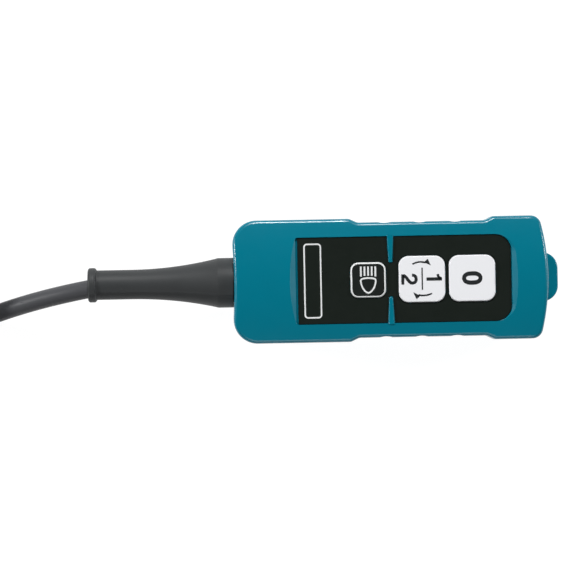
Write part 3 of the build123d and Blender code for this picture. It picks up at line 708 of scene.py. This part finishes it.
def stroke(points, width, closed=False):
    # a flat band: its two edges stand half a width to each side of the line
    p = np.array(points, float)
    if closed:
        ahead, behind = np.roll(p, -1, axis=0), np.roll(p, 1, axis=0)
    else:
        ahead, behind = np.vstack([p[1:], 2 * p[-1] - p[-2]]), np.vstack([2 * p[0] - p[1], p[:-1]])
    way = ahead - behind
    way = way / np.linalg.norm(way, axis=1)[:, None]
    aside = np.stack([-way[:, 1], way[:, 0]], axis=1)
    half = np.broadcast_to(np.asarray(width, float) / 2, (len(p),))[:, None]
    return p + aside * half, p - aside * half, closed


def upright(points):
    # a character drawn upright turns its top towards +X
    p = np.array(points, float)
    return np.stack([p[:, 1], -p[:, 0]], axis=1)


def addMarks(name, strokes, middle, level, finish, body):
    # each band becomes a thin raised strip of ink with closed ends
    points, faces, count = [], [], 0
    low, high = level - inkLayer["sunk"] * mm, level + inkLayer["thickness"] * mm
    for left, right, closed in strokes:
        rows = len(left)
        section = [(left, low), (left, high), (right, high), (right, low)]
        ring = np.stack([
            np.column_stack([edge * mm + middle, np.full(rows, z)]) for edge, z in section
        ], axis=1)
        points.append(ring.reshape(-1, 3))
        faces.append(gridFaces(rows, 4, loopRows=closed) + count)
        if not closed:
            last = count + 4 * (rows - 1)
            faces.append(np.array([[0, 1, 2, 3]]) + count)
            faces.append(np.array([[0, 1, 2, 3]]) + last)
        count += rows * 4
    return addPiece(name, np.vstack(points), np.vstack(faces), finish, body, sharp=30.0)


def keyMiddle(name):
    low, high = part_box(name + "_key_cap")
    return np.array([(low.x + high.x) / 2, (low.y + high.y) / 2]), high.z


nought = {"wide": 1.76, "tall": 3.1, "power": 0.84, "line": 1.5, "sideExtra": 0.16, "around": 72}


def makeNought():
    # a bold nought: a superellipse line, thicker at its sides
    middle, level = keyMiddle("off")
    turn = np.linspace(0, 2 * pi, nought["around"], endpoint=False)
    across, along = np.cos(turn), np.sin(turn)
    x = nought["wide"] * np.sign(across) * np.abs(across) ** nought["power"]
    y = nought["tall"] * np.sign(along) * np.abs(along) ** nought["power"]
    width = nought["line"] + nought["sideExtra"] * across**2
    ring = stroke(upright(np.stack([x, y], axis=1)), width, True)
    addMarks("markNought", [ring], middle, level, "inkBlack", "off_key")


speeds = {
    "stem": 1.26, "flag": 0.95, "flagEnd": 0.7, "foot": 1.12, "curve": 1.18, "divider": 0.5,
    "arrowStart": 0.55, "arrowEnd": 0.7,
}


def makeSpeedMarks():
    # 1 over 2 with a dividing line, and a curved arrow at each end of it
    middle, level = keyMiddle("speed")
    m = speeds
    flag = roundLine([(-1.75, 6.05), (-0.95, 6.2), (-0.45, 6.6), (-0.2, 7.35)])
    curve = roundLine([
        (-1.45, -7.1), (-1.15, -6.55), (-0.35, -5.75), (0.75, -4.95), (1.4, -4.15), (1.45, -3.2),
        (0.9, -2.45), (0.0, -2.2), (-0.9, -2.45), (-1.42, -3.1), (-1.5, -3.75),
    ])
    one = [
        stroke(upright([(0.1, 1.75), (0.1, 7.6)]), m["stem"]),
        stroke(upright(flag), [m["flag"]] * (len(flag) - 1) + [m["flagEnd"]]),
    ]
    two = [
        stroke(upright([(2.02, -7.3), (-1.9, -7.3)]), m["foot"]),
        stroke(upright(curve), m["curve"]),
    ]
    divider = [stroke([(0.1, -4.2), (0.1, 4.3)], m["divider"])]
    upper = roundLine([(-3.5, 5.7), (-2.2, 6.25), (-0.6, 6.5), (1.6, 6.25)])
    lower = roundLine([(3.7, -5.6), (2.2, -6.1), (0.4, -6.3), (-1.4, -6.1)])
    swelling = np.linspace(m["arrowStart"], m["arrowEnd"], len(upper))
    arrows = [
        stroke(upper, swelling),
        stroke([(1.62, 7.0), (2.45, 6.15), (3.45, 5.1)], [1.85, 1.05, 0.03]),
        stroke(lower, swelling),
        stroke([(-1.45, -7.05), (-2.35, -6.1), (-3.4, -5.0)], [1.95, 1.1, 0.03]),
    ]
    strokes = one + two + divider + arrows
    addMarks("markSpeeds", strokes, middle, level, "inkBlack", "speed_key")


lamp = {
    "beams": (-2.75, -1.38, 0.0, 1.38, 2.75), "beamTop": 5.15, "beamFoot": 1.6, "outerDrop": 0.3,
    "beamLine": 0.66, "bowlLine": 0.62,
}


def makeLampMarks():
    # five beams over a bowl
    middle, level = keyMiddle("light")
    beams = []
    for x in lamp["beams"]:
        foot = lamp["beamFoot"] - lamp["outerDrop"] * (abs(x) > 2)      # the outer two reach lower
        beams.append(stroke([(x, lamp["beamTop"]), (x, foot)], lamp["beamLine"]))
    right = roundLine([
        (0, 0.75), (1.5, 0.62), (2.55, 0.32), (2.84, -0.2), (2.72, -1.2), (2.38, -2.45), (1.72, -3.65),
        (0.88, -4.55), (0, -4.95),
    ])
    bowl = np.vstack([right, (right * (-1, 1))[::-1][1:-1]])
    beams.append(stroke(bowl, lamp["bowlLine"], True))
    addMarks("markLamp", beams, middle, level, "inkWhite", "light_key")


keyRim = {"half": 6.7, "corner": 3.0, "edge": 0.5, "proud": 0.02, "inner": 0.6, "sunk": 0.01, "deep": 0.75}


def makeKeyRim():
    # white ring over the light key's edge: (reach, drop) across its top, round the bend and down its side
    middle, level = keyMiddle("light")
    half, edge, proud = keyRim["half"], keyRim["edge"], keyRim["proud"]
    turn = np.radians(np.linspace(90, 0, 7))
    inside = half - keyRim["inner"]
    top = line((inside, -keyRim["sunk"]), (inside, proud), (half - edge, proud))
    radius = edge + proud
    bend = np.stack([half - edge + radius * np.cos(turn), radius * np.sin(turn) - edge], axis=1)
    under = line((half + proud, -keyRim["deep"]), (half - proud, -keyRim["deep"]))
    profile = np.vstack([top, bend[1:], under])
    rings = []
    for reach, drop in profile:
        ring = roundedSquare(reach, max(keyRim["corner"] - (half - reach), 0.5))
        rings.append(np.column_stack([ring * mm + middle, np.full(len(ring), level + drop * mm)]))
    points = np.stack(rings)
    addPiece("keyRim", points, gridFaces(len(profile), points.shape[1], loopRows=True), "inkWhite",
             "light_key")


field = {"x": 5.7, "length": 28.0, "width": 6.2, "corner": 1.1, "line": 0.55}


def makeNameField():
    # a blank field for the owner's mark, as a thin printed frame on the label
    low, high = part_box("face_label")
    share = 0.4                                     # of the unit ring's half side that its corner takes
    ring = roundedSquare(1.0, share, 6, 10)
    corner = field["corner"]
    unit = np.clip(ring / (1 - share), -1, 1)
    straight = unit * (field["width"] / 2 - corner, field["length"] / 2 - corner)
    frameLine = straight + (ring - (1 - share) * unit) / share * corner
    middle = np.array([low.x + field["x"] * mm, (low.y + high.y) / 2])
    border = stroke(frameLine, field["line"], True)
    addMarks("nameField", [border], middle, high.z, "inkWhite", "handset")


makeNought()
makeSpeedMarks()
makeLampMarks()
makeKeyRim()
makeNameField()
print("marks printed")


# ---- floor and light ----
studio = {
    "floor": 4.0, "floorTone": (100, 100, 101), "glow": 0.97, "world": 0.02,
    "lights": {
        "back": {"place": (-0.05, 0.85, 0.72), "size": 0.2, "power": 8.6},
        "right": {"place": (0.95, 0.25, 0.5), "size": 0.2, "power": 5.6},
        "left": {"place": (-0.98, 0.2, 0.44), "size": 0.2, "power": 7.6},
        "front": {"place": (-0.05, -0.85, 0.75), "size": 0.6, "power": 2.2},
    },
    "aim": (-0.04, 0.0, 0.02),
}


def makeFloor():
    half = studio["floor"] / 2
    mesh = bpy.data.meshes.new("floor")
    corners = [(-half, -half, 0), (half, -half, 0), (half, half, 0), (-half, half, 0)]
    mesh.from_pydata(corners, [], [(0, 1, 2, 3)])
    finish = Finish("floor paper")
    colour = tone(*studio["floorTone"])
    base = finish.mix(finish.noise(6, 3), shade(colour, 0.995), shade(colour, 1.005))
    mesh.materials.append(finish.done(
        colour=base, roughness=0.9, specular=0.1, glow=(1, 1, 1, 1), glowStrength=studio["glow"]
    ))
    floor = bpy.data.objects.new("floor", mesh)
    bpy.context.scene.collection.objects.link(floor)


def makeLights():
    for name, item in studio["lights"].items():
        data = bpy.data.lights.new(name, "AREA")
        data.shape, data.size, data.energy = "DISK", item["size"], item["power"]
        lamp = bpy.data.objects.new(name, data)
        lamp.location = item["place"]
        away = np.array(item["place"]) - np.array(studio["aim"])
        flat = float(np.hypot(away[0], away[1]))
        lamp.rotation_euler = (atan2(flat, away[2]), 0, atan2(away[0], -away[1]))
        bpy.context.scene.collection.objects.link(lamp)
    world = bpy.data.worlds.new("room")
    world.use_nodes = True
    ground = world.node_tree.nodes["Background"]
    ground.inputs["Color"].default_value = (1, 1, 1, 1)
    ground.inputs["Strength"].default_value = studio["world"]
    bpy.context.scene.world = world
    bpy.context.scene.view_settings.view_transform = "Standard"


makeFloor()
makeLights()
print("studio lit")
